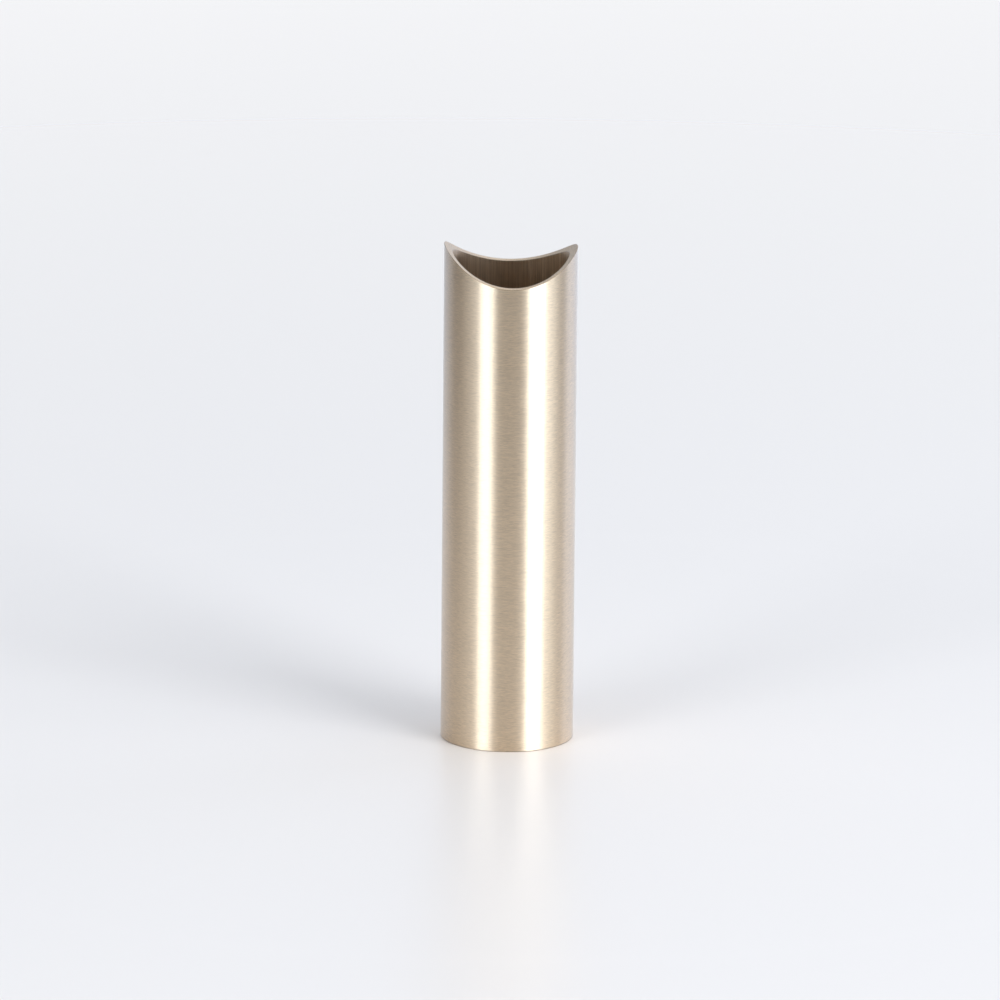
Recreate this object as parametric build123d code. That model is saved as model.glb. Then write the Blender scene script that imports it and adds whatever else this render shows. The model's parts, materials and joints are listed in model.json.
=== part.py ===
from build123d import *
from math import pi, sqrt
import os

# A tubular candle mold that stands on its foot. Millimetres, +Z up, with the origin at the foot's centre.
# The two horns of the mouth point along X, and its two low points lie along Y.

# Tube: one-inch stock with a sixteenth-of-an-inch wall. Its bore casts a dinner candle 22 mm thick.
tube_od = 1 * IN
tube_wall = IN / 16
valley_height = 90.7  # foot to the two low points of the mouth
saddle_radius = 16.5  # the cutter that shapes the mouth, its axis level and along Y
foot_chamfer = 0.2
rim_chamfer = 0.12  # the deburred edges of the mouth

# Base plug: a sliding fit in the bore, a little above the foot, so that the mold stands on the tube alone.
plug_clearance = 0.05
plug_recess = 0.5
plug_height = 12.0
plug_chamfer = 0.4
dish_depth = 3.5  # the shallow cone that shapes the candle's tip
dish_lip = 0.9  # flat ring left outside the cone
wick_hole_radius = 1.0

# O-ring: 1.78 mm section, squeezed to the room between the groove's floor and the bore.
ring_section = 1.78
ring_squeeze = 0.27
ring_gap_bore = 0.03
ring_gap_groove = 0.02
groove_width = 2.4
groove_middle = 4.2  # above the plug's underside

# Wick screw: M4 x 0.7 with a slotted head and a cone point, in a counterbore of the plug's underside.
thread_radius = 2.0
thread_pitch = 0.7
thread_turns = 5
thread_clearance = 0.05
head_radius = 3.5
head_height = 1.8
head_chamfer = 0.25
slot_width = 1.0
slot_depth = 0.8
counterbore_radius = 4.5
counterbore_depth = 3.0
point_radius = 0.75  # the flat end of the cone point
tap_overrun = 0.3  # the tapped hole is this much deeper than the thread reaches

# Washer under the screw's head.
washer_radius = 4.0
washer_thickness = 0.8
washer_clearance = 0.1
washer_edge = 0.15

# Worked out from the values above.
tube_radius = tube_od / 2
bore_radius = tube_radius - tube_wall
horn_height = valley_height + saddle_radius - sqrt(saddle_radius**2 - tube_radius**2)
plug_radius = bore_radius - plug_clearance
plug_top = plug_recess + plug_height
dish_bottom = plug_top - dish_depth
ring_outer = bore_radius - ring_gap_bore
ring_thickness = ring_section - ring_squeeze
groove_radius = ring_outer - ring_thickness - ring_gap_groove
groove_bottom = plug_recess + groove_middle - groove_width / 2
counterbore_top = plug_recess + counterbore_depth
head_top = counterbore_top - washer_thickness
thread_end = counterbore_top + thread_turns * thread_pitch
tap_end = thread_end + tap_overrun
seat_end = tap_end + thread_radius - wick_hole_radius
screw_radius = thread_radius - thread_clearance


def turned(points):
    """A solid of revolution about Z from a closed outline of (radius, height) points."""
    outline = Polyline(*[(radius, 0, height) for radius, height in points], close=True)
    return revolve(make_face(outline), Axis.Z)


def mold_tube():
    """Seamless tube, cut across the top by a level cylinder, which leaves two horns and two low points."""
    # The blank ends level with the cutter's axis, so nothing is left above the cut.
    blank_height = valley_height + saddle_radius
    blank = turned(
        [
            (bore_radius, foot_chamfer),
            (bore_radius + foot_chamfer, 0),
            (tube_radius - foot_chamfer, 0),
            (tube_radius, foot_chamfer),
            (tube_radius, blank_height),
            (bore_radius, blank_height),
        ]
    )
    cutter = Pos(Z=blank_height) * Rot(X=90) * Cylinder(saddle_radius, 2 * tube_od)
    tube = blank - cutter
    mouth_edges = tube.edges().filter_by_position(Axis.Z, valley_height, horn_height)
    return chamfer(mouth_edges, rim_chamfer)


def base_plug():
    """Turned plug: tip-shaping cone above, O-ring groove round it, counterbore and tapped hole below."""
    return turned(
        [
            (wick_hole_radius, seat_end),
            (wick_hole_radius, dish_bottom),
            (plug_radius - dish_lip, plug_top),
            (plug_radius - plug_chamfer, plug_top),
            (plug_radius, plug_top - plug_chamfer),
            (plug_radius, groove_bottom + groove_width),
            (groove_radius, groove_bottom + groove_width),
            (groove_radius, groove_bottom),
            (plug_radius, groove_bottom),
            (plug_radius, plug_recess + plug_chamfer),
            (plug_radius - plug_chamfer, plug_recess),
            (counterbore_radius, plug_recess),
            (counterbore_radius, counterbore_top),
            (thread_radius, counterbore_top),
            (thread_radius, tap_end),
        ]
    )


def plug_o_ring():
    """O-ring as it sits when squeezed: flat against the groove and the bore, round above and below."""
    # The squeezed section keeps its area, so it is taller than it was round.
    ring_height = ring_thickness + pi * (ring_section**2 - ring_thickness**2) / (4 * ring_thickness)
    section = SlotOverall(ring_height, ring_thickness, rotation=90)
    middle = Pos(ring_outer - ring_thickness / 2, plug_recess + groove_middle)
    return revolve(Plane.XZ * middle * section, Axis.Z)


def wick_screw():
    """Slotted screw that runs up the plug and pinches the wick with its cone point."""
    head_bottom = head_top - head_height
    point_end = thread_end + screw_radius - point_radius
    screw = turned(
        [
            (0, head_bottom),
            (head_radius - head_chamfer, head_bottom),
            (head_radius, head_bottom + head_chamfer),
            (head_radius, head_top),
            (screw_radius, head_top),
            (screw_radius, thread_end),
            (point_radius, point_end),
            (0, point_end),
        ]
    )
    # Centred on the head's underside, so half of the box cuts the slot.
    slot = Pos(Z=head_bottom) * Box(3 * head_radius, slot_width, 2 * slot_depth)
    return screw - slot


def screw_washer():
    """Flat washer that the screw's head presses against the plug."""
    return turned(
        [
            (screw_radius + washer_clearance, head_top),
            (washer_radius - washer_edge, head_top),
            (washer_radius, head_top + washer_edge),
            (washer_radius, counterbore_top - washer_edge),
            (washer_radius - washer_edge, counterbore_top),
            (screw_radius + washer_clearance, counterbore_top),
        ]
    )


os.makedirs("parts", exist_ok=True)
for build in (mold_tube, base_plug, plug_o_ring, wick_screw, screw_washer):
    export_step(build(), f"parts/{build.__name__}.step")
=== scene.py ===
import json
from collections import namedtuple
from functools import cache
from math import acos, cos, hypot, pi, radians, sin, sqrt, tan

import bmesh
import bpy
from mathutils import Matrix, Vector


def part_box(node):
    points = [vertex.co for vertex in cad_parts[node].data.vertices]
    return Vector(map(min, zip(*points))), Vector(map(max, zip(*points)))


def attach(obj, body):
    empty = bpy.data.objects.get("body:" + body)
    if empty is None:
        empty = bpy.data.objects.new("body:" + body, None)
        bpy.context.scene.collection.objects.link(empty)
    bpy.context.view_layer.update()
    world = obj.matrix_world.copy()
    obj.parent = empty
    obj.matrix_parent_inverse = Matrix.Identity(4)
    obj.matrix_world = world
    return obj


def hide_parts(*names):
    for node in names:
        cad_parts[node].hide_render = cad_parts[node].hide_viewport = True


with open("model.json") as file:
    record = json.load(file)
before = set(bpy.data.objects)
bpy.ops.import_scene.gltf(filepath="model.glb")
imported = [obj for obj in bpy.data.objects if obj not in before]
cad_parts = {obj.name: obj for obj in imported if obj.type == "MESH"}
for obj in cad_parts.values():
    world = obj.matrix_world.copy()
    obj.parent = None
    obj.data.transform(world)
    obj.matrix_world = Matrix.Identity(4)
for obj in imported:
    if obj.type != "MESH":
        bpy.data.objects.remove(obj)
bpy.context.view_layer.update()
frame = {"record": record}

MM = 0.001

# Sizes that the frame gives.
MOUNTS = {mount["name"]: mount for mount in frame["record"]["mounts"]}
TUBE_RADIUS = MOUNTS["outer_wall"]["dims"]["r_mm"] * MM
VALLEY_HEIGHT = MOUNTS["wick_bar_seat"]["pos_m"][2]
PLUG_LOW, PLUG_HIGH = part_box("base_plug")
RING_LOW, RING_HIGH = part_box("plug_o_ring")
SCREW_LOW, SCREW_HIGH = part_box("wick_screw")
WASHER_LOW, WASHER_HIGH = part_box("screw_washer")

# Tube: one-inch stock, cut across the top by a level cylinder along Y.
TUBE_WALL = 25.4 / 16 * MM
BORE_RADIUS = TUBE_RADIUS - TUBE_WALL
SADDLE_RADIUS = 16.5 * MM
SADDLE_SHIFT = 0.20 * MM  # the cutter ran a hair off the middle, so the left horn is the taller
FOOT_EASE = 0.17 * MM
RIM_EASE = 0.05 * MM
RIM_WAVES = ((3, 0.30, 0.7), (8, 0.25, 2.1))  # the hand-eased rim's unevenness: lobes, share, start
TUBE_SEGMENTS = 320

# Base plug, its groove and its holes.
PLUG_EASE = 0.35 * MM
SHARP_EASE = 0.07 * MM
DISH_DEPTH = 3.5 * MM
DISH_LIP = 0.9 * MM
WICK_HOLE_RADIUS = 1.0 * MM
GROOVE_GAP = 0.02 * MM
GROOVE_WIDTH = 2.4 * MM
COUNTERBORE_RADIUS = 4.5 * MM
COUNTERBORE_TOP = WASHER_HIGH.z
COUNTERBORE_FILLET = 0.20 * MM
PLUG_SEGMENTS = 192

# O-ring, flattened between the groove and the bore.
RING_THICKNESS = 1.51 * MM
RING_STEPS = 40

# Wick screw: M4 x 0.7, its slotted head below and its cone point above.
TAP_RADIUS = 2.0 * MM
SCREW_RADIUS = 1.95 * MM
THREAD_PITCH = 0.7 * MM
THREAD_DEPTH = 0.38 * MM
THREAD_END = COUNTERBORE_TOP + 5 * THREAD_PITCH
THREAD_ROWS = 14  # rows of points to a turn
TAP_END = THREAD_END + 0.3 * MM
HEAD_EASE = 0.22 * MM
POINT_RADIUS = 0.75 * MM
SLOT_WIDTH = 1.0 * MM
SLOT_DEPTH = 0.8 * MM
SLOT_FLARE = 0.05 * MM
SCREW_SEGMENTS = 120

# Washer.
WASHER_EASE = 0.14 * MM
WASHER_HOLE = 2.05 * MM

Corner = namedtuple("Corner", "radius height ease rows finish", defaults=(0, 0, 0))


# ---------------------------------------------------------------- mesh making

ARC_STEPS = 5
ROOM_SHARE = 0.4  # share of the shorter side that an eased corner may take up
SUPPORT_SHARE = 0.5  # how far past the arc its support points lie


def eased_corner(before, corner, after):
    """Points that round one corner of an outline, with a support point at each end of the arc."""
    here = Vector((corner.radius, corner.height))
    back = Vector((before.radius, before.height)) - here
    on = Vector((after.radius, after.height)) - here
    convex = back.x * on.y - back.y * on.x < 0
    half = acos(max(-1.0, min(1.0, back.normalized().dot(on.normalized())))) / 2
    room = ROOM_SHARE * min(back.length, on.length)
    reach = min(corner.ease / tan(half), room)
    ease = reach * tan(half)
    back.normalize()
    on.normalize()
    centre = here + (back + on).normalized() * (ease / sin(half))
    support = min(SUPPORT_SHARE * ease, SUPPORT_SHARE * room)
    points = [(here + back * (reach + support), 0.0)]
    start, end = here + back * reach - centre, here + on * reach - centre
    turn = pi - 2 * half
    for step in range(ARC_STEPS + 1):
        share = step / ARC_STEPS
        spoke = (start * sin((1 - share) * turn) + end * sin(share * turn)) / sin(turn)
        points.append((centre + spoke, float(convex)))
    points.append((here + on * (reach + support), 0.0))
    return points


def outline(corners, closed=True):
    """(radius, height, edge share, finish) of every point of an outline, which runs anticlockwise."""
    count = len(corners)
    groups = []
    for place, corner in enumerate(corners):
        ends = not closed and place in (0, count - 1)
        if corner.ease and not ends:
            before, after = corners[place - 1], corners[(place + 1) % count]
            groups.append(eased_corner(before, corner, after))
        else:
            groups.append([(Vector((corner.radius, corner.height)), 0.0)])
    points = []
    for place, corner in enumerate(corners):
        group = groups[place]
        points += [(p.x, p.y, edge, corner.finish) for p, edge in group]
        if place + 1 == count and not closed:
            break
        start, end = group[-1][0], groups[(place + 1) % count][0][0]
        for row in range(1, corner.rows + 1):
            p = start.lerp(end, row / (corner.rows + 1))
            points.append((p.x, p.y, 0.0, corner.finish))
    return points


def lathe(name, section, segments, materials, closed=True, reshape=None):
    """A turned piece whose section at each angle is section(angle), as outline() gives it.

    Each point keeps how far it lies along the outline and whether it is on an eased edge,
    which the finishes read as the attributes "along" and "edge".
    """
    verts, along, edges, finishes = [], [], [], []
    for segment in range(segments):
        angle = 2 * pi * segment / segments
        travelled, last = 0.0, None
        for radius, height, edge, finish in section(angle):
            if last:
                travelled += hypot(radius - last[0], height - last[1])
            last = (radius, height)
            if reshape:
                radius = reshape(radius, height, angle)
            verts.append((radius * cos(angle), radius * sin(angle), height))
            along.append(travelled)
            edges.append(edge)
            if segment == 0:
                finishes.append(finish)
    rows = len(finishes)
    faces, face_finishes = [], []
    for segment in range(segments):
        here, there = segment * rows, (segment + 1) % segments * rows
        for row in range(rows if closed else rows - 1):
            above = (row + 1) % rows
            faces.append((here + row, there + row, there + above, here + above))
            face_finishes.append(finishes[row])
    mesh = bpy.data.meshes.new(name)
    mesh.from_pydata(verts, [], faces)
    for label, values in (("along", along), ("edge", edges)):
        mesh.attributes.new(label, "FLOAT", "POINT").data.foreach_set("value", values)
    mesh.polygons.foreach_set("material_index", face_finishes)
    if not closed:
        merge_points(mesh)
    for material in materials:
        mesh.materials.append(material)
    shade(mesh)
    piece = bpy.data.objects.new(name, mesh)
    bpy.context.scene.collection.objects.link(piece)
    return piece


def merge_points(mesh, nearer_than=0.0001 * MM):
    """Joins the points that meet on the axis into one."""
    work = bmesh.new()
    work.from_mesh(mesh)
    bmesh.ops.remove_doubles(work, verts=work.verts, dist=nearer_than)
    work.to_mesh(mesh)
    work.free()


def shade(mesh, sharp=radians(50)):
    """Smooth shading, except across edges that turn more than the sharp angle."""
    mesh.shade_smooth()
    mesh.set_sharp_from_angle(angle=sharp)
    mesh.update()


def prism(name, profile, length):
    """A straight bar along X whose end is a profile of (y, z) points."""
    count = len(profile)
    verts = [(side * length / 2, y, z) for side in (-1, 1) for y, z in profile]
    faces = [tuple(range(count))[::-1], tuple(range(count, 2 * count))]
    faces += [(k, (k + 1) % count, count + (k + 1) % count, count + k) for k in range(count)]
    mesh = bpy.data.meshes.new(name)
    mesh.from_pydata(verts, [], faces)
    bar = bpy.data.objects.new(name, mesh)
    bpy.context.scene.collection.objects.link(bar)
    return bar


def cut_away(piece, cutter):
    """Cuts one mesh out of another and drops the cutter."""
    cut = piece.modifiers.new("cut", "BOOLEAN")
    cut.operation, cut.solver, cut.object = "DIFFERENCE", "EXACT", cutter
    graph = bpy.context.evaluated_depsgraph_get()
    result = bpy.data.meshes.new_from_object(piece.evaluated_get(graph))
    piece.modifiers.clear()
    piece.data = result
    shade(result)
    bpy.data.objects.remove(cutter)


# ---------------------------------------------------------------- finishes


def new_group(name, inputs, outputs):
    """An empty shader node group with named sockets: (name, kind, default) each."""
    group = bpy.data.node_groups.new(name, "ShaderNodeTree")
    for label, kind, default in inputs:
        socket = group.interface.new_socket(label, in_out="INPUT", socket_type=f"NodeSocket{kind}")
        socket.default_value = default
    for label, kind in outputs:
        group.interface.new_socket(label, in_out="OUTPUT", socket_type=f"NodeSocket{kind}")
    return group, group.nodes.new("NodeGroupInput"), group.nodes.new("NodeGroupOutput")


def math_node(tree, operation, first, second, clamp=False):
    node = tree.nodes.new("ShaderNodeMath")
    node.operation, node.use_clamp = operation, clamp
    for socket, value in zip(node.inputs, (first, second)):
        feed(tree, socket, value)
    return node.outputs[0]


def vector_node(tree, operation, first, second):
    node = tree.nodes.new("ShaderNodeVectorMath")
    node.operation = operation
    for socket, value in zip(node.inputs, (first, second)):
        feed(tree, socket, value)
    return node.outputs[0]


def feed(tree, socket, value):
    """Links another socket, or sets a plain value."""
    if isinstance(value, bpy.types.NodeSocket):
        tree.links.new(value, socket)
    else:
        socket.default_value = value


def noise(tree, place, detail, roughness=0.5):
    """Noise whose grain is one unit of the place that it is given."""
    node = tree.nodes.new("ShaderNodeTexNoise")
    node.inputs["Scale"].default_value = 1.0
    node.inputs["Detail"].default_value = detail
    node.inputs["Roughness"].default_value = roughness
    tree.links.new(place, node.inputs["Vector"])
    return node.outputs["Fac"]


def spread(tree, value, low, high, out_low=0.0, out_high=1.0):
    """Stretches a value from low..high to out_low..out_high and clamps it."""
    node = tree.nodes.new("ShaderNodeMapRange")
    feed(tree, node.inputs["Value"], value)
    for label, number in (("From Min", low), ("From Max", high), ("To Min", out_low), ("To Max", out_high)):
        feed(tree, node.inputs[label], number)
    return node.outputs["Result"]


# Noise between the two ends of a band becomes 0 to 1, and noise outside it is cut off.
FINE_BAND = (0.36, 0.64)
BROAD_BAND = (0.30, 0.70)
CLOUD_BAND = (0.30, 0.70)
WEAR_AND_SHADE_BAND = (0.25, 0.60)
DUST_BAND = (0.56, 0.72)
BROAD_SCALE = 0.45  # broad streaks to each fine line
LEAST_WEAR_AND_SHADE = 0.45  # what an eased edge shows of its edge tone where it shows least


def make_tool_marks():
    """Fine lines and broader streaks left by a brush or a tool, drawn out along one direction."""
    group, given, made = new_group(
        "Tool Marks",
        [("Place", "Vector", (0, 0, 0)), ("Stretch", "Vector", (1, 1, 1)), ("Broad Share", "Float", 0.35)],
        [("Fine", "Float"), ("Broad", "Float"), ("Height", "Float")],
    )
    fine_place = vector_node(group, "MULTIPLY", given.outputs["Place"], given.outputs["Stretch"])
    broad_place = vector_node(group, "MULTIPLY", fine_place, 3 * (BROAD_SCALE,))
    fine = spread(group, noise(group, fine_place, detail=4, roughness=0.65), *FINE_BAND)
    broad = spread(group, noise(group, broad_place, detail=3, roughness=0.55), *BROAD_BAND)
    share = given.outputs["Broad Share"]
    rest = math_node(group, "SUBTRACT", 1.0, share)
    fine_part = math_node(group, "MULTIPLY", fine, rest)
    broad_part = math_node(group, "MULTIPLY", broad, share)
    height = math_node(group, "ADD", fine_part, broad_part)
    group.links.new(fine, made.inputs["Fine"])
    group.links.new(broad, made.inputs["Broad"])
    group.links.new(height, made.inputs["Height"])
    return group


def make_handling():
    """Soft cloudy unevenness, as hands and cloths leave on bare metal."""
    group, given, made = new_group(
        "Handling", [("Place", "Vector", (0, 0, 0)), ("Size", "Float", 20 * MM)], [("Cloud", "Float")]
    )
    place = vector_node(group, "DIVIDE", given.outputs["Place"], given.outputs["Size"])
    cloud = spread(group, noise(group, place, detail=3, roughness=0.6), *CLOUD_BAND)
    group.links.new(cloud, made.inputs["Cloud"])
    return group


def make_edge_wear_and_shade():
    """Where an eased edge shows its edge tone, broken up along its length: rubbed wear on the turned brass,
    painted shade along the tube's foot and mouth.
    """
    group, given, made = new_group(
        "Edge Wear and Painted Shade",
        [("Edge", "Float", 0.0), ("Place", "Vector", (0, 0, 0)), ("Grain", "Float", 0.8 * MM)],
        [("Wear And Shade", "Float")],
    )
    place = vector_node(group, "DIVIDE", given.outputs["Place"], given.outputs["Grain"])
    # Edge mask: on the tube it carries painted shade, on the turned brass rubbed wear.
    broken = spread(group, noise(group, place, detail=3, roughness=0.6), *WEAR_AND_SHADE_BAND, LEAST_WEAR_AND_SHADE, 1.0)
    wear_and_shade = math_node(group, "MULTIPLY", given.outputs["Edge"], broken, clamp=True)
    group.links.new(wear_and_shade, made.inputs["Wear And Shade"])
    return group


TOOL_MARKS = make_tool_marks()
HANDLING = make_handling()
EDGE_WEAR_AND_SHADE = make_edge_wear_and_shade()


def use(tree, group, **given):
    """Places a node group and feeds its inputs; a name's underscores stand for spaces."""
    node = tree.nodes.new("ShaderNodeGroup")
    node.node_tree = group
    for label, value in given.items():
        feed(tree, node.inputs[label.replace("_", " ").title()], value)
    return node.outputs


def mix_colour(tree, share, first, second):
    """From the first colour to the second; each is a socket or a tuple."""
    node = tree.nodes.new("ShaderNodeMix")
    node.data_type = "RGBA"
    feed(tree, node.inputs["Factor"], share)
    feed(tree, node.inputs["A"], (*first, 1.0) if isinstance(first, tuple) else first)
    feed(tree, node.inputs["B"], (*second, 1.0) if isinstance(second, tuple) else second)
    return node.outputs["Result"]


def new_material(name):
    material = bpy.data.materials.new(name)
    material.use_nodes = True
    tree = material.node_tree
    return material, tree, tree.nodes["Principled BSDF"]


def read(tree, label):
    node = tree.nodes.new("ShaderNodeAttribute")
    node.attribute_name = label
    return node.outputs["Fac"]


def own_place(tree):
    return tree.nodes.new("ShaderNodeTexCoord").outputs["Object"]


def turned_place(tree):
    """x, y and the distance along the section, so that marks run round the axis on every face."""
    split = tree.nodes.new("ShaderNodeSeparateXYZ")
    tree.links.new(own_place(tree), split.inputs[0])
    joined = tree.nodes.new("ShaderNodeCombineXYZ")
    tree.links.new(split.outputs["X"], joined.inputs["X"])
    tree.links.new(split.outputs["Y"], joined.inputs["Y"])
    tree.links.new(read(tree, "along"), joined.inputs["Z"])
    return joined.outputs[0]


def bump(tree, shader, height, strength, distance):
    node = tree.nodes.new("ShaderNodeBump")
    node.inputs["Strength"].default_value = strength
    node.inputs["Distance"].default_value = distance
    tree.links.new(height, node.inputs["Height"])
    tree.links.new(node.outputs["Normal"], shader.inputs["Normal"])


LACQUER_ROUGHNESS = 0.30
CLOUD_SIZE = 9 * MM
CLOUD_SHARE = 0.25  # how far the clouds even out the marks
CLOUD_GLOSS = 0.5  # how much the clouds sway the roughness beside the broad streaks


def grain(x, y, z):
    """The stretch of marks that are about this long, in metres, along each axis."""
    return (1 / x, 1 / y, 1 / z)


def brass(name, place, stretch, tones, roughness, rough_swing, relief, anisotropy, turn=0.25, lacquer=0.0):
    """Brass with tool marks: tones are its darker, plain and edge colours; on the tube the edge colour is
    painted shade along the eased edges, on the turned pieces it is rubbed wear.
    """
    material, tree, shader = new_material(name)
    marks = use(tree, TOOL_MARKS, place=place(tree), stretch=stretch)
    cloud = use(tree, HANDLING, place=own_place(tree), size=CLOUD_SIZE)["Cloud"]
    wear_and_shade = use(tree, EDGE_WEAR_AND_SHADE, edge=read(tree, "edge"), place=own_place(tree))["Wear And Shade"]
    dark, plain, edge_wear_and_shade_tone = tones
    colour = mix_colour(tree, marks["Height"], dark, plain)
    clouded = mix_colour(tree, math_node(tree, "MULTIPLY", cloud, CLOUD_SHARE), colour, plain)
    # The edge tone goes on the eased edges: painted shade on the tube's brass, rubbed wear on the turned
    # brass.
    tree.links.new(mix_colour(tree, wear_and_shade, clouded, edge_wear_and_shade_tone), shader.inputs["Base Color"])
    uneven = math_node(tree, "ADD", marks["Broad"], math_node(tree, "MULTIPLY", cloud, CLOUD_GLOSS))
    gloss = spread(tree, uneven, 0.0, 1 + CLOUD_GLOSS, roughness - rough_swing, roughness + rough_swing)
    tree.links.new(gloss, shader.inputs["Roughness"])
    bump(tree, shader, marks["Height"], strength=1.0, distance=relief)
    shader.inputs["Metallic"].default_value = 1.0
    shader.inputs["Anisotropic"].default_value = anisotropy
    shader.inputs["Anisotropic Rotation"].default_value = turn
    shader.inputs["Coat Weight"].default_value = lacquer
    shader.inputs["Coat Roughness"].default_value = LACQUER_ROUGHNESS
    tangent = tree.nodes.new("ShaderNodeTangent")
    tangent.direction_type, tangent.axis = "RADIAL", "Z"
    tree.links.new(tangent.outputs["Tangent"], shader.inputs["Tangent"])
    return material


def brushed_brass():
    """Outside of the tube: short strokes of an abrasive belt, all running round it."""
    return brass(
        "brushed brass", own_place, stretch=grain(1.0 * MM, 1.0 * MM, 0.10 * MM),
        # The third tone is darker than the marks: painted shade along the eased foot and mouth edges.
        tones=((0.66, 0.515, 0.355), (0.98, 0.775, 0.540), (0.50, 0.39, 0.28)),
        roughness=0.365, rough_swing=0.03, relief=0.005 * MM, anisotropy=0.95, lacquer=0.8,
    )


def cut_brass():
    """Mouth and foot: cut across and then eased by hand with a fine abrasive."""
    return brass(
        "cut brass", own_place, stretch=grain(0.12 * MM, 1.6 * MM, 0.12 * MM),
        # The third tone is darker than the marks: painted shade along the eased rim and foot edges.
        tones=((0.48, 0.33, 0.19), (0.78, 0.55, 0.33), (0.42, 0.28, 0.16)),
        roughness=0.42, rough_swing=0.05, relief=0.004 * MM, anisotropy=0.3,
    )


def drawn_brass():
    """Inside of the tube: draw marks along its length, browned by heat and old wax."""
    return brass(
        "drawn brass", own_place, stretch=grain(0.22 * MM, 0.22 * MM, 9.0 * MM),
        # The third tone is darker than the marks: painted shade along the eased inner edge of the mouth.
        tones=((0.50, 0.37, 0.25), (0.82, 0.65, 0.47), (0.42, 0.31, 0.21)),
        roughness=0.36, rough_swing=0.05, relief=0.003 * MM, anisotropy=0.5, turn=0.0,
    )


@cache
def turned_brass():
    """Plug and screw: fine rings left by the lathe."""
    return brass(
        "turned brass", turned_place, stretch=grain(30 * MM, 30 * MM, 0.09 * MM),
        tones=((0.62, 0.47, 0.26), (0.80, 0.64, 0.38), (0.88, 0.74, 0.48)),
        roughness=0.34, rough_swing=0.05, relief=0.004 * MM, anisotropy=0.55,
    )


@cache
def silicone():
    """O-ring and washer: matt rust-red silicone with a little dust."""
    material, tree, shader = new_material("silicone rubber")
    place = own_place(tree)
    grains = 5200  # to the metre
    dark_rubber, pale_rubber, dust_tone = (0.22, 0.060, 0.035), (0.30, 0.085, 0.050), (0.46, 0.34, 0.30)
    most_dust = 0.35
    smoothest, roughest = 0.52, 0.66
    fine = noise(tree, vector_node(tree, "MULTIPLY", place, 3 * (grains,)), detail=3)
    cloud = use(tree, HANDLING, place=place, size=2.5 * MM)["Cloud"]
    colour = mix_colour(tree, cloud, dark_rubber, pale_rubber)
    dust = spread(tree, fine, *DUST_BAND, 0.0, most_dust)
    tree.links.new(mix_colour(tree, dust, colour, dust_tone), shader.inputs["Base Color"])
    tree.links.new(spread(tree, cloud, 0.0, 1.0, smoothest, roughest), shader.inputs["Roughness"])
    shader.inputs["Specular IOR Level"].default_value = 0.45
    bump(tree, shader, fine, strength=0.6, distance=0.01 * MM)
    return material


# ---------------------------------------------------------------- pieces


def saddle(across):
    """Height of the mouth at a distance across the tube, along X."""
    return VALLEY_HEIGHT + SADDLE_RADIUS - sqrt(SADDLE_RADIUS**2 - (across - SADDLE_SHIFT) ** 2)


def make_tube():
    """The tube, with its mouth and its foot eased."""
    outside, cut, inside = range(3)
    wall_rows, face_rows = 60, 3
    middle = (TUBE_RADIUS + BORE_RADIUS) / 2

    def section(angle):
        rim = RIM_EASE * (1 + sum(share * sin(lobes * angle + start) for lobes, share, start in RIM_WAVES))
        return outline([
            # The eased edges at the foot and the mouth take the darker edge tone of their finish, painted
            # shade along the foot's contact line and the rim.
            Corner(BORE_RADIUS, 0, FOOT_EASE, 2, cut),
            Corner(TUBE_RADIUS, 0, FOOT_EASE, wall_rows, outside),
            Corner(TUBE_RADIUS, saddle(TUBE_RADIUS * cos(angle)), rim, face_rows, cut),
            Corner(middle, saddle(middle * cos(angle)), 0, face_rows, cut),
            Corner(BORE_RADIUS, saddle(BORE_RADIUS * cos(angle)), rim, wall_rows, inside),
        ])

    tube = lathe("brass_tube", section, TUBE_SEGMENTS, [brushed_brass(), cut_brass(), drawn_brass()])
    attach(tube, "mold")
    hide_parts("mold_tube")


def thread(start, end, start_fade, end_fade, major):
    """A reshape for lathe() that cuts a right-hand thread between two heights, major being its radius."""
    flat = 0.125  # share of the pitch left flat on the crest and in the root

    def reshape(radius, height, angle):
        if not start < height < end:
            return radius
        phase = (height / THREAD_PITCH - angle / (2 * pi)) % 1
        crest = min(1.0, max(0.0, (1 - abs(2 * phase - 1) - flat) / (1 - 2 * flat)))
        deep = min(1.0, (height - start) / start_fade, (end - height) / end_fade)
        return min(radius, major - THREAD_DEPTH * (1 - crest) * deep)

    return reshape


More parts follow.
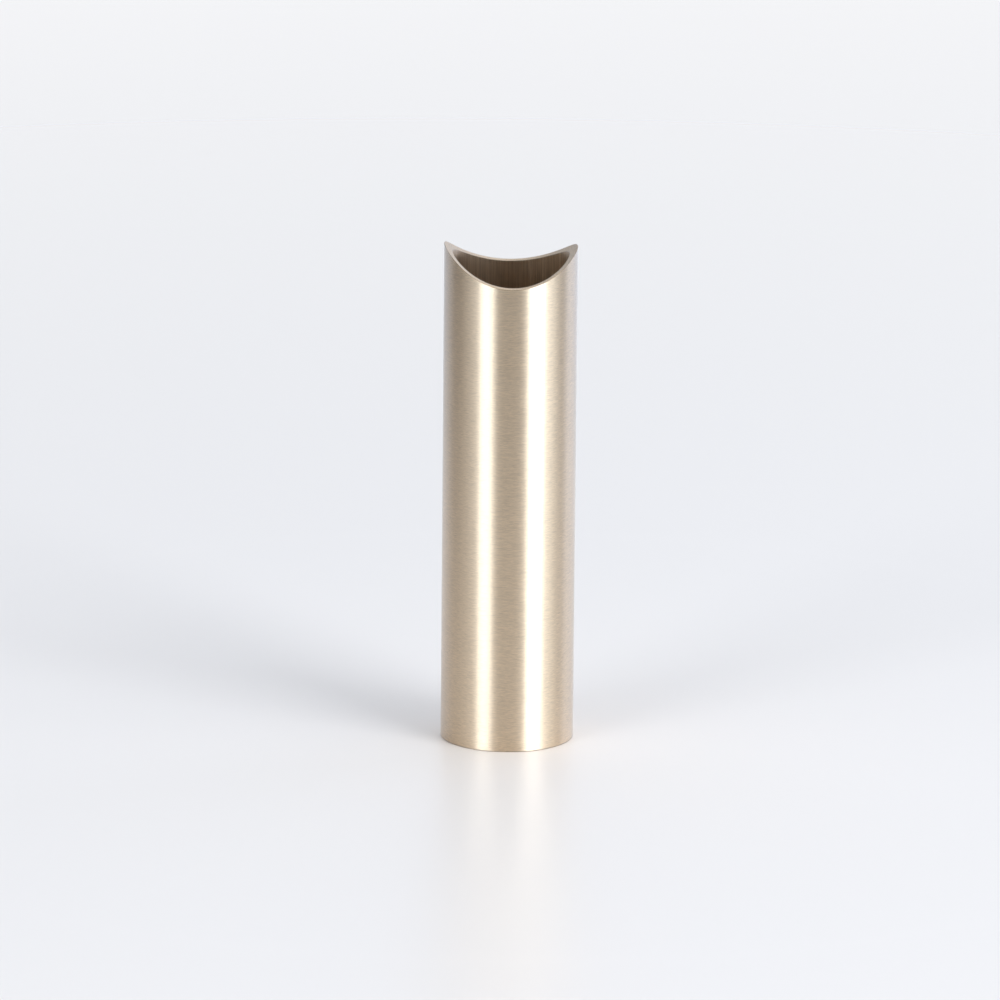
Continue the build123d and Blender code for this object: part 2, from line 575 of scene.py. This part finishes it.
def make_plug():
    """Turned plug: tip-shaping cone above, ring groove round it, counterbore and tapped hole below."""
    low, top, radius = PLUG_LOW.z, PLUG_HIGH.z, PLUG_HIGH.x
    groove_floor = RING_HIGH.x - RING_THICKNESS - GROOVE_GAP
    ring_middle = (RING_LOW.z + RING_HIGH.z) / 2
    groove_low, groove_high = ring_middle - GROOVE_WIDTH / 2, ring_middle + GROOVE_WIDTH / 2
    thread_rows = round((TAP_END - COUNTERBORE_TOP) / THREAD_PITCH * THREAD_ROWS)
    corners = outline([
        Corner(COUNTERBORE_RADIUS, low, SHARP_EASE, 4),
        Corner(radius, low, PLUG_EASE, 1),
        Corner(radius, groove_low, SHARP_EASE),
        Corner(groove_floor, groove_low, SHARP_EASE),
        Corner(groove_floor, groove_high, SHARP_EASE),
        Corner(radius, groove_high, SHARP_EASE, 6),
        Corner(radius, top, PLUG_EASE),
        Corner(radius - DISH_LIP, top, SHARP_EASE, 12),
        Corner(WICK_HOLE_RADIUS, top - DISH_DEPTH, SHARP_EASE, 1),
        Corner(WICK_HOLE_RADIUS, TAP_END + TAP_RADIUS - WICK_HOLE_RADIUS, SHARP_EASE, 1),
        Corner(TAP_RADIUS, TAP_END, 0, thread_rows),
        Corner(TAP_RADIUS, COUNTERBORE_TOP, 0, 3),
        Corner(COUNTERBORE_RADIUS, COUNTERBORE_TOP, COUNTERBORE_FILLET, 1),
    ])
    lead_in = 0.3 * THREAD_PITCH
    cut_thread = thread(COUNTERBORE_TOP, TAP_END, lead_in, lead_in, TAP_RADIUS)

    def reshape(at, height, angle):
        return cut_thread(at, height, angle) if at < TAP_RADIUS + SHARP_EASE else at

    plug = lathe("turned_plug", lambda angle: corners, PLUG_SEGMENTS, [turned_brass()], reshape=reshape)
    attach(plug, "base")
    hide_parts("base_plug")


def make_ring():
    """O-ring as it sits when squeezed: flat against the groove and the bore, round above and below."""
    half = RING_THICKNESS / 2
    middle_radius, middle = RING_HIGH.x - half, (RING_LOW.z + RING_HIGH.z) / 2
    straight = (RING_HIGH.z - RING_LOW.z) / 2 - half
    points = []
    for step in range(RING_STEPS):
        turn = 2 * pi * (step + 0.5) / RING_STEPS
        end = straight if sin(turn) > 0 else -straight
        points.append((middle_radius + half * cos(turn), middle + end + half * sin(turn), 0.0, 0))
    ring = lathe("silicone_ring", lambda angle: points, PLUG_SEGMENTS, [silicone()])
    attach(ring, "base")
    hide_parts("plug_o_ring")


def make_screw():
    """Wick screw: slotted head, threaded shank and a cone point that pinches the wick."""
    low, point_end, head_radius, head_top = SCREW_LOW.z, SCREW_HIGH.z, SCREW_HIGH.x, WASHER_LOW.z
    thread_rows = round((THREAD_END - head_top) / THREAD_PITCH * THREAD_ROWS)
    corners = outline([
        Corner(0, low, 0, 10),
        Corner(head_radius, low, HEAD_EASE, 2),
        Corner(head_radius, head_top, SHARP_EASE, 2),
        Corner(SCREW_RADIUS, head_top, 0, thread_rows),
        Corner(SCREW_RADIUS, THREAD_END, 0, 16),
        Corner(POINT_RADIUS, point_end, SHARP_EASE, 2),
        Corner(0, point_end),
    ], closed=False)
    cut_thread = thread(head_top, point_end, WASHER_HIGH.z - head_top, 0.01 * MM, SCREW_RADIUS)
    screw = lathe("slotted_screw", lambda angle: corners, SCREW_SEGMENTS, [turned_brass()], closed=False,
                  reshape=cut_thread)
    # The slot's profile flares at its mouth and starts one flare outside the head.
    half, floor = SLOT_WIDTH / 2, low + SLOT_DEPTH
    mouth = half + 2 * SLOT_FLARE
    outside, inside = low - SLOT_FLARE, low + SLOT_FLARE
    right_side = [(mouth, outside), (half, inside), (half, floor)]
    left_side = [(-y, z) for y, z in reversed(right_side)]
    cut_away(screw, prism("slot", right_side + left_side, 3 * head_radius))
    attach(screw, "screw")
    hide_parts("wick_screw")


def make_washer():
    """Flat washer punched from sheet."""
    low, high, radius = WASHER_LOW.z, WASHER_HIGH.z, WASHER_HIGH.x
    corners = outline([
        Corner(WASHER_HOLE, low, SHARP_EASE, 3),
        Corner(radius, low, WASHER_EASE),
        Corner(radius, high, WASHER_EASE, 3),
        Corner(WASHER_HOLE, high, SHARP_EASE, 1),
    ])
    washer = lathe("silicone_washer", lambda angle: corners, SCREW_SEGMENTS, [silicone()])
    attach(washer, "washer")
    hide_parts("screw_washer")


# ---------------------------------------------------------------- studio

PAPER = (0.902, 0.775, 0.656)  # the sheet's own colour
SWEEP = (0.910, 0.915, 0.935)  # the sheet's far, fully lit sweep
DAYLIGHT = (0.91, 1.05, 1.25)
CAMERA_AZIMUTH, CAMERA_ELEVATION, CAMERA_ROLL = radians(-1.62), radians(14.63), radians(0.53)
CAMERA_DISTANCE = 2.335
LENS, SENSOR = 440.9, 36.0
AIM_HEIGHT = 50.8 * MM
AIM_RIGHT, AIM_UP = 1.72 * MM, 4.235 * MM


def around(azimuth, elevation):
    """Unit vector towards a place in the studio; azimuth 0 is the front and 90 degrees the right."""
    return Vector((sin(azimuth) * cos(elevation), -cos(azimuth) * cos(elevation), sin(elevation)))


def set_place(piece, place, right, up, back):
    """Moves an object to a place and turns it to three axes at right angles."""
    piece.matrix_world = Matrix.Translation(place) @ Matrix((right, up, back)).transposed().to_4x4()


def make_camera():
    """Long lens a little above the mouth, rolled half a degree."""
    middle = Vector((0, 0, AIM_HEIGHT))
    towards = around(CAMERA_AZIMUTH, CAMERA_ELEVATION)
    place = middle + towards * CAMERA_DISTANCE
    right = Vector((0, 0, 1)).cross(towards).normalized()
    up = towards.cross(right)
    rolled_up = up * cos(CAMERA_ROLL) - right * sin(CAMERA_ROLL)
    rolled_right = right * cos(CAMERA_ROLL) + up * sin(CAMERA_ROLL)
    aim = middle - rolled_right * AIM_RIGHT - rolled_up * AIM_UP
    back = (place - aim).normalized()
    side = rolled_up.cross(back).normalized()
    above = back.cross(side)
    data = bpy.data.cameras.new("camera")
    data.lens, data.sensor_width = LENS, SENSOR
    data.clip_start, data.clip_end = 0.05, 20.0
    camera = bpy.data.objects.new("camera", data)
    set_place(camera, place, side, above, back)
    bpy.context.scene.collection.objects.link(camera)
    bpy.context.scene.camera = camera


FLOOR_RINGS = (TUBE_RADIUS - 2 * FOOT_EASE, 0.03, 0.10, 0.20, 0.35, 0.55, 0.81)
FLOOR_SOLID, FLOOR_CLEAR = 0.15, 0.68  # how far from the object the sheet starts to fade, and is gone
FLOOR_ROUGHNESS, FLOOR_IOR = 0.34, 1.32


def make_floor():
    """Large pale glossy sheet, open under the foot, which fades into the backdrop far from the object."""
    rings, segments = FLOOR_RINGS, 96
    turns = [2 * pi * step / segments for step in range(segments)]
    verts = [(radius * cos(turn), radius * sin(turn), 0) for radius in rings for turn in turns]
    faces = []
    for ring in range(len(rings) - 1):
        inner, outer = ring * segments, (ring + 1) * segments
        for step in range(segments):
            on = (step + 1) % segments
            faces.append((inner + step, outer + step, outer + on, inner + on))
    mesh = bpy.data.meshes.new("floor")
    mesh.from_pydata(verts, [], faces)
    material, tree, shader = new_material("pale sheet")
    shader.inputs["Base Color"].default_value = (*PAPER, 1)
    shader.inputs["Roughness"].default_value = FLOOR_ROUGHNESS
    shader.inputs["IOR"].default_value = FLOOR_IOR
    distance = tree.nodes.new("ShaderNodeVectorMath")
    distance.operation = "LENGTH"
    tree.links.new(own_place(tree), distance.inputs[0])
    near = spread(tree, distance.outputs["Value"], FLOOR_SOLID, FLOOR_CLEAR, 1.0, 0.0)
    above = math_node(tree, "SUBTRACT", 1.0, tree.nodes.new("ShaderNodeNewGeometry").outputs["Backfacing"])
    tree.links.new(math_node(tree, "MULTIPLY", near, above), shader.inputs["Alpha"])
    mesh.materials.append(material)
    floor = bpy.data.objects.new("floor", mesh)
    bpy.context.scene.collection.objects.link(floor)


def make_panel(name, azimuth, elevation, distance, width, height, radiance, fade_in, fade_out):
    """A glowing cloth panel that faces the object; its two upright edges fade over shares of its width."""
    half_w, half_h = width / 2, height / 2
    mesh = bpy.data.meshes.new(name)
    signs = ((-1, -1), (-1, 1), (1, 1), (1, -1))
    mesh.from_pydata([(x * half_w, y * half_h, 0) for x, y in signs], [], [(0, 1, 2, 3)])
    material = bpy.data.materials.new(name)
    material.use_nodes = True
    tree = material.node_tree
    tree.nodes.clear()
    split = tree.nodes.new("ShaderNodeSeparateXYZ")
    tree.links.new(own_place(tree), split.inputs[0])
    across = split.outputs["X"]
    first = spread(tree, across, -half_w, -half_w + fade_in * width)
    last = spread(tree, across, half_w - fade_out * width, half_w, 1.0, 0.0)
    front = math_node(tree, "SUBTRACT", 1.0, tree.nodes.new("ShaderNodeNewGeometry").outputs["Backfacing"])
    glow = math_node(tree, "MULTIPLY", math_node(tree, "MULTIPLY", first, last), front)
    emission = tree.nodes.new("ShaderNodeEmission")
    emission.inputs["Color"].default_value = (*DAYLIGHT, 1)
    tree.links.new(math_node(tree, "MULTIPLY", glow, radiance), emission.inputs["Strength"])
    out = tree.nodes.new("ShaderNodeOutputMaterial")
    tree.links.new(emission.outputs[0], out.inputs["Surface"])
    mesh.materials.append(material)
    panel = bpy.data.objects.new(name, mesh)
    towards = around(azimuth, elevation)
    right = Vector((0, 0, 1)).cross(towards).normalized()
    place = Vector((0, 0, AIM_HEIGHT)) + towards * distance
    set_place(panel, place, right, towards.cross(right), towards)
    panel.visible_camera = False
    bpy.context.scene.collection.objects.link(panel)


# The studio's walls: (azimuth in degrees, radiance), from behind on the left round the front to behind.
WALLS = ((-180, 0.80), (-167, 0.72), (-150, 0.42), (-130, 0.32), (-114, 0.02), (-98, 0.04), (-78, 0.34),
         (-60, 0.80), (-45, 0.40), (-22, 0.10), (16, 0.10), (30, 0.30), (58, 1.70), (74, 1.52), (88, 0.58),
         (103, 0.22), (114, 0.95), (128, 0.95), (152, 0.74), (167, 1.20), (180, 0.80))
WINDOW_LIGHT = (0.87, 1.04, 1.42)
WINDOWS = (100, 160)  # where the bluer window light falls, in degrees from the front on both sides
CEILING = 0.95
CEILING_EDGE = (radians(42), radians(58))


def make_world():
    """Dark room in front, pale sweep behind and a lit ceiling; the camera sees plain paper instead."""
    world = bpy.data.worlds.new("studio")
    bpy.context.scene.world = world
    world.use_nodes = True
    tree = world.node_tree
    split = tree.nodes.new("ShaderNodeSeparateXYZ")
    tree.links.new(tree.nodes.new("ShaderNodeTexCoord").outputs["Generated"], split.inputs[0])
    front = math_node(tree, "MULTIPLY", split.outputs["Y"], -1.0)
    azimuth = math_node(tree, "ARCTAN2", split.outputs["X"], front)
    walls = tree.nodes.new("ShaderNodeValToRGB")
    walls.color_ramp.interpolation = "LINEAR"
    stops = walls.color_ramp.elements
    for place, (degrees, radiance) in enumerate(WALLS):
        share = (degrees + 180) / 360
        stop = stops[place] if place < 2 else stops.new(share)
        light = WINDOW_LIGHT if WINDOWS[0] < abs(degrees) < WINDOWS[1] else DAYLIGHT
        stop.position, stop.color = share, (*(radiance * tint for tint in light), 1)
    tree.links.new(spread(tree, azimuth, -pi, pi), walls.inputs["Fac"])
    low, high = (sin(edge) for edge in CEILING_EDGE)
    overhead = spread(tree, split.outputs["Z"], low, high)
    room = tree.nodes["Background"]
    ceiling = tuple(CEILING * tint for tint in DAYLIGHT)
    tree.links.new(mix_colour(tree, overhead, walls.outputs["Color"], ceiling), room.inputs["Color"])
    backdrop = tree.nodes.new("ShaderNodeBackground")
    backdrop.inputs["Color"].default_value = (*SWEEP, 1)
    mixed = tree.nodes.new("ShaderNodeMixShader")
    tree.links.new(tree.nodes.new("ShaderNodeLightPath").outputs["Is Camera Ray"], mixed.inputs["Fac"])
    tree.links.new(room.outputs[0], mixed.inputs[1])
    tree.links.new(backdrop.outputs[0], mixed.inputs[2])
    tree.links.new(mixed.outputs[0], tree.nodes["World Output"].inputs["Surface"])


make_camera()
make_world()
make_floor()
make_panel("left_softbox", radians(-42.8), radians(16), distance=2.0, width=1.01, height=1.60, radiance=4.1,
           fade_in=0.15, fade_out=0.12)
make_panel("right_softbox", radians(46.4), radians(21), distance=2.0, width=1.20, height=2.05, radiance=5.7,
           fade_in=0.11, fade_out=0.20)
make_tube()
make_plug()
make_ring()
make_screw()
make_washer()

bpy.context.scene.view_settings.view_transform = "Standard"
